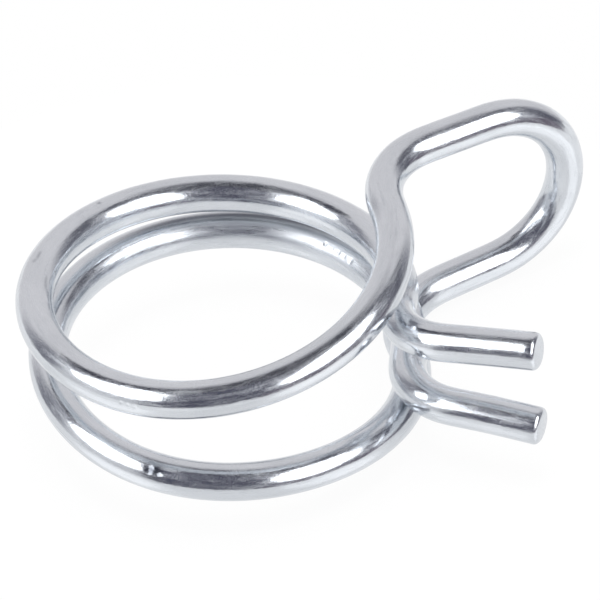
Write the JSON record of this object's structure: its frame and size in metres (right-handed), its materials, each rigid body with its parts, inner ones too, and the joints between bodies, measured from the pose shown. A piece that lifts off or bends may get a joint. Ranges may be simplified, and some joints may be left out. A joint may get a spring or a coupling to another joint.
{
  "type": "double-wire spring hose clamp",
  "caption": "Round-wire spring hose clamp: wire coils ring the hose, and a folded finger loop and crossing free tails are squeezed together to open the coils.",
  "frame": {"origin": "on the hose axis, midway between the two coils", "axes": "+Z along the hose axis, +X from the coils towards the finger loop, +Y across, away from the tails"},
  "size_m": [0.0333, 0.0253, 0.0118],
  "materials": {
    "zinc_wire": "bright zinc plate on drawn spring wire, with faint draw lines and small bending marks"
  },
  "bodies": {
    "root": {"spring_wire": "zinc_wire"}
  },
  "joints": []
}
